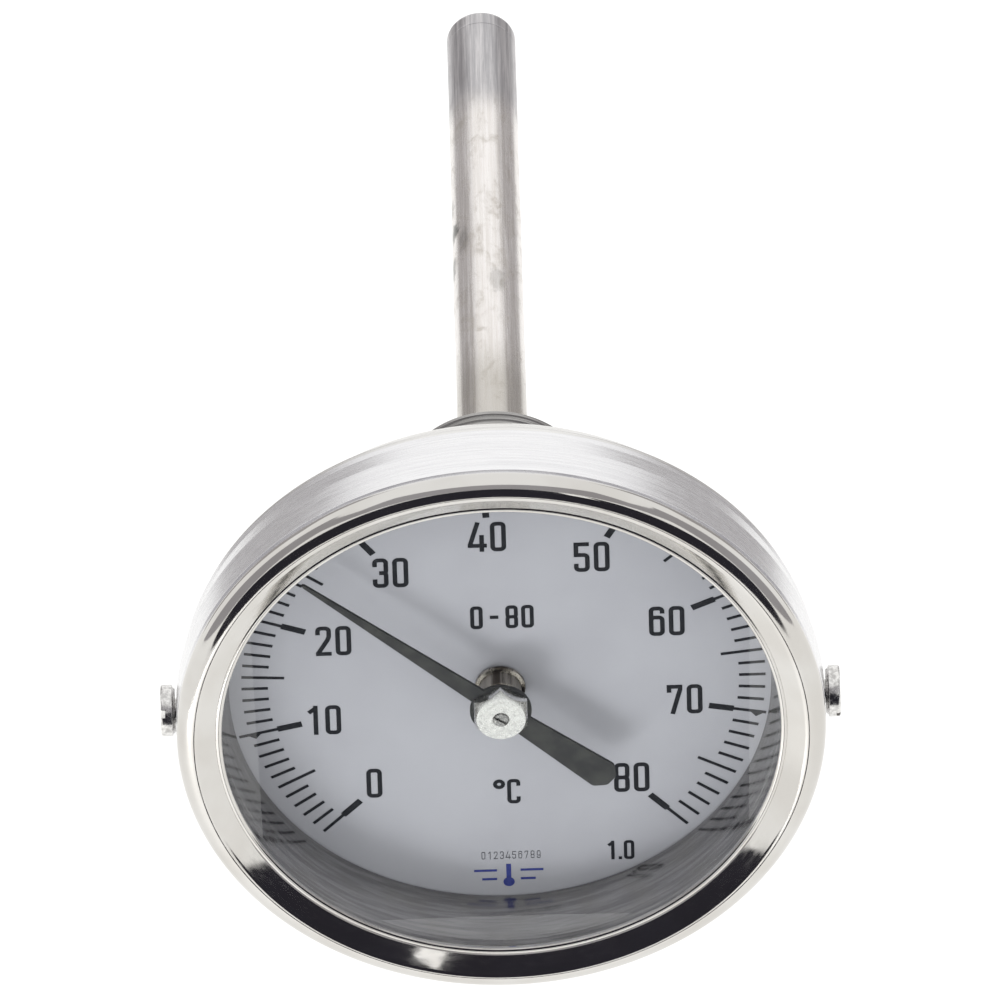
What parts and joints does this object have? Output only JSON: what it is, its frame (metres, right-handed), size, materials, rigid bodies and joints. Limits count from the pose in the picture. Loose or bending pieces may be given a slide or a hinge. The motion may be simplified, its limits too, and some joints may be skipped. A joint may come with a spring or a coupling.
{
  "type": "dial thermometer",
  "caption": "Round back-mount bimetal dial thermometer: steel case with screwed slip-on bezel, flat window, printed dial with turning pointer, rear neck and long straight stem.",
  "frame": {"origin": "on the stem axis, in the plane of the neck's rear end face", "axes": "+Y along the stem, away from the dial, which faces -Y; +Z towards the top of the dial; +X to the right when the dial is read"},
  "size_m": [0.0856, 0.1484, 0.0816],
  "materials": {
    "polished_steel": "mirror-polished bead, circumferentially brushed skirt",
    "brushed_case": "drawn stainless steel, satin",
    "window_glass": "flat clear instrument glass",
    "black_rubber": "matt",
    "mirror_wall": "bright rolled strip",
    "dial_enamel": "satin enamel, printed black scale",
    "pointer_black": "matt black",
    "nickel": "nickel plated, bright",
    "bush_nickel": "turned nickel brass",
    "brass": "turned",
    "turned_steel": "turned, fine rings",
    "stem_steel": "drawn tube, dull with handling stains",
    "bimetal": "rolled strip"
  },
  "bodies": {
    "case": {"bezel_ring": "polished_steel", "case_cup": "brushed_case", "window_glass": "window_glass", "window_gasket": "black_rubber", "spacer_ring": "mirror_wall", "dial_plate": "dial_enamel", "bezel_screw_left": "nickel", "bezel_screw_right": "nickel", "screw_insert_left": "brass", "screw_insert_right": "brass", "neck_body": "turned_steel", "neck_end_bush": "turned_steel", "neck_seal": "black_rubber", "neck_lock_washer": "nickel", "neck_nut": "brass", "stem_tube": "stem_steel", "stem_end_plug": "stem_steel", "coil_anchor": "brass", "lower_bearing": "brass", "upper_bearing": "brass", "bimetal_coil": "bimetal"},
    "pointer_assembly": {"pointer_shaft": "nickel", "coil_driver": "brass", "pointer_bush": "bush_nickel", "pointer": "pointer_black", "pointer_nut": "nickel"}
  },
  "joints": [
    {"name": "pointer_turn", "type": "hinge", "parent": "case", "child": "pointer_assembly", "pos_m": [0, 0, 0], "axis": [0, 1, 0], "range_deg": [-85.7, 185.7], "stiffness_Nm_per_rad": 0.001}
  ]
}
